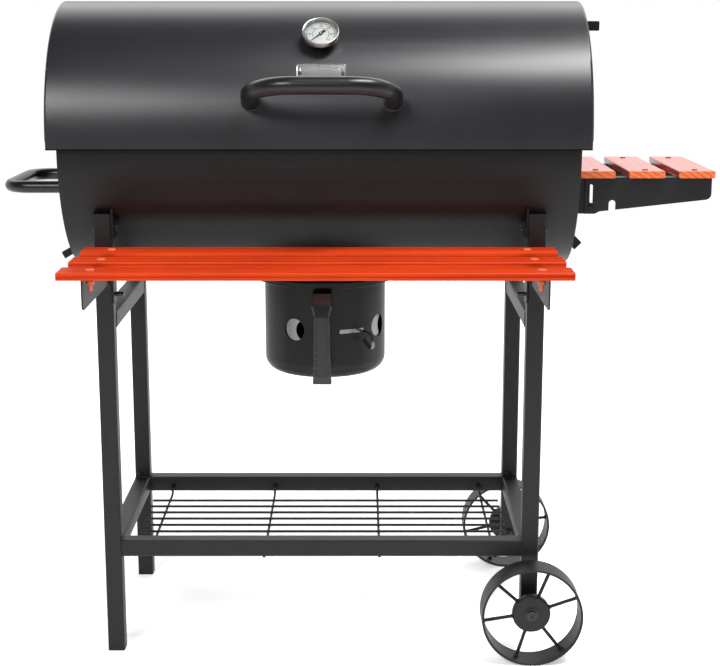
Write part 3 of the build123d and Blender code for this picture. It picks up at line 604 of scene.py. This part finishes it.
def frame_welds():
    """Weld beads round the ends of the rails, where they meet the legs or each other."""
    bm = bmesh.new()
    inset = 2 * MM
    for name in ("rail_front", "rail_rear"):
        lo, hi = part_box(name)
        for x in (lo.x, hi.x):
            for y in (lo.y, hi.y):
                upright_weld(bm, x, y, lo, hi)
            for z in (lo.z, hi.z):
                bead(bm, line((x, lo.y + inset, z), (x, hi.y - inset, z)), 1.1 * MM, wave=0.25)
    for name in ("rail_left", "rail_right", "side_rail_left", "side_rail_right"):
        lo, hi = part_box(name)
        for y in (lo.y, hi.y):
            for x in (lo.x, hi.x):
                upright_weld(bm, x, y, lo, hi)
            for z in (lo.z, hi.z):
                bead(bm, line((lo.x + inset, y, z), (hi.x - inset, y, z)), 1.1 * MM, wave=0.25)
    piece("frame_welds", bm, FRAME_PAINT, "stand")


def cup_seam():
    """Long welded seam up the back of the cup."""
    lo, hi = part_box("ash_cup")
    mid = (lo + hi) / 2
    bm = bmesh.new()
    y = mid.y + CUP_R
    bead(bm, line((mid.x, y, lo.z + 26 * MM), (mid.x, y, hi.z - 6 * MM), 3 * MM), 0.8 * MM, wave=0.2)
    piece("cup_seam", bm, BOWL_PAINT, "ash_pot")


def wire_ends():
    """Wire ends and their holes where the shelf hooks into the front and rear rails."""
    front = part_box("rail_front")[0]
    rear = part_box("rail_rear")[0]
    bm = bmesh.new()
    for offset in SHELF_CROSS_X:
        x = MID_X + offset
        z = rear.z + 9 * MM
        bead(bm, circle((x, rear.y - 0.2 * MM, z), (0, 1, 0), 2.6 * MM, 20), 0.9 * MM, closed=True)
        bead(bm, line((x, rear.y - 1.2 * MM, z), (x, rear.y + 0.4 * MM, z)), 2.4 * MM)
        y = front.y + 9 * MM
        bead(bm, line((x, y, front.z + 0.5 * MM), (x, y, front.z - 4 * MM)), 2.0 * MM)
    # Drawn in the near-black matte paint made as painted shade for the gap under the lid.
    piece("wire_ends", bm, HEM_SHADOW_BLACK, "stand")


def grip_notches():
    """Moulded notches down both edges of the cup handle."""
    lo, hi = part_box("cup_handle")
    mid = (lo.x + hi.x) / 2
    y = lo.y + 0.4 * MM
    half = 1.6 * MM
    bm = bmesh.new()
    for side in (-1, 1):
        x = mid + side * 9.4 * MM
        for k in range(NOTCHES):
            z = lo.z + 14 * MM + NOTCH_PITCH * k
            bead(bm, line((x - half, y, z), (x + half, y, z), 1 * MM), 0.7 * MM)
    piece("grip_notches", bm, PLASTIC, "ash_pot")


lid_hem()
end_seams()
wire_ends()
grip_notches()
lid_handle_feet()
side_handle_feet()
plate_rim()
dial_scale()
gauge_bezel()
wheel_detail("front", FRONT_SPOKES)
wheel_detail("rear", REAR_SPOKES)
frame_welds()
cup_seam()


# ------------------------------------------------------------------ room

WORLD_WHITE = 1.0
WORLD_DARK = 0.16
FRONT_SHARE = 0.22
BACK_RISE = 0.55
FLOOR_REACH = 3.6
CAMERA_PLACE = (0.006, -2.2228, 0.9361)
CAMERA_PITCH = 11.842


def floor():
    """Round pale floor, wide enough to meet the white surroundings."""
    sides = 96
    mesh = bpy.data.meshes.new("floor")
    turn = 2 * math.pi / sides
    ring = [
        (FLOOR_REACH * math.cos(k * turn), FLOOR_REACH * math.sin(k * turn), 0.0) for k in range(sides)
    ]
    mesh.from_pydata(ring, [], [tuple(range(sides))])
    obj = bpy.data.objects.new("floor", mesh)
    scene.collection.objects.link(obj)
    s = Shader("floor_paper")
    s.join(s.ramp(s.noise(2.0), [(0.0, (0.90, 0.90, 0.90)), (1.0, (0.93, 0.93, 0.93))]), "Base Color")
    s.set(Roughness=0.9, Specular_IOR_Level=0.2)
    s.set(Emission_Color=(1.0, 1.0, 1.0, 1.0), Emission_Strength=0.42)
    obj.data.materials.append(s.material)


def area_light(name, place, target, size, radiance):
    """Rectangular soft box of a given brightness."""
    data = bpy.data.lights.new(name, "AREA")
    data.shape = "RECTANGLE"
    data.size, data.size_y = size
    data.energy = radiance * math.pi * size[0] * size[1]
    obj = bpy.data.objects.new(name, data)
    obj.location = place
    obj.rotation_euler = (Vector(target) - Vector(place)).to_track_quat("-Z", "Y").to_euler()
    scene.collection.objects.link(obj)


def surroundings():
    """White round the horizon and high up behind, dark overhead and dimmer in front."""
    world = bpy.data.worlds.new("studio")
    world.use_nodes = True
    tree = world.node_tree
    link = tree.links.new

    def math_node(operation, a, b):
        """Join or set two inputs of a sum."""
        made = tree.nodes.new("ShaderNodeMath")
        made.operation = operation
        for socket, value in zip(made.inputs, (a, b)):
            if isinstance(value, bpy.types.NodeSocket):
                link(value, socket)
            else:
                socket.default_value = value
        return made.outputs[0]

    def map_node(value, from_min, from_max, to_min, to_max):
        """Ease a value from one span to another."""
        made = tree.nodes.new("ShaderNodeMapRange")
        made.interpolation_type = "SMOOTHSTEP"
        link(value, made.inputs["Value"])
        keys = ("From Min", "From Max", "To Min", "To Max")
        for key, limit in zip(keys, (from_min, from_max, to_min, to_max)):
            made.inputs[key].default_value = limit
        return made.outputs["Result"]

    split = tree.nodes.new("ShaderNodeSeparateXYZ")
    link(tree.nodes.new("ShaderNodeTexCoord").outputs["Generated"], split.inputs["Vector"])
    back, up = split.outputs["Y"], split.outputs["Z"]
    behind = math_node("SUBTRACT", up, math_node("MULTIPLY", back, BACK_RISE))
    height = math_node("MINIMUM", math_node("MULTIPLY", up, 1.5), behind)
    glow = map_node(height, 0.05, 0.34, WORLD_WHITE, WORLD_DARK)
    facing = map_node(back, -0.9, 0.1, FRONT_SHARE, 1.0)
    background = tree.nodes["Background"]
    background.inputs["Color"].default_value = (1.0, 1.0, 1.0, 1.0)
    link(math_node("MULTIPLY", glow, facing), background.inputs["Strength"])
    scene.world = world


def studio():
    """Soft boxes: high over the right, at front left, over the floor behind and low in front."""
    surroundings()
    area_light("right_box", (0.95, -0.72, 2.95), (0.30, -0.12, 0.88), (1.7, 0.55), 37.0)
    area_light("left_box", (-1.35, -2.75, 2.45), (-0.30, -0.18, 0.82), (1.5, 0.75), 20.0)
    area_light("back_box", (0.0, 3.6, 3.6), (0.0, 3.0, 0.0), (7.0, 3.4), 2.2)
    area_light("front_fill", (0.0, -3.4, 1.1), (0.0, 0.0, 0.5), (3.0, 0.8), 0.4)


def camera():
    """Long lens at chest height, looking a little down."""
    data = bpy.data.cameras.new("camera")
    data.sensor_width = 36.0
    data.lens = 75.9
    data.clip_end = 60.0
    obj = bpy.data.objects.new("camera", data)
    obj.location = CAMERA_PLACE
    obj.rotation_euler = (math.radians(90.0 - CAMERA_PITCH), 0.0, 0.0)
    scene.collection.objects.link(obj)
    scene.camera = obj


floor()
studio()
camera()
scene.view_settings.view_transform = "Standard"
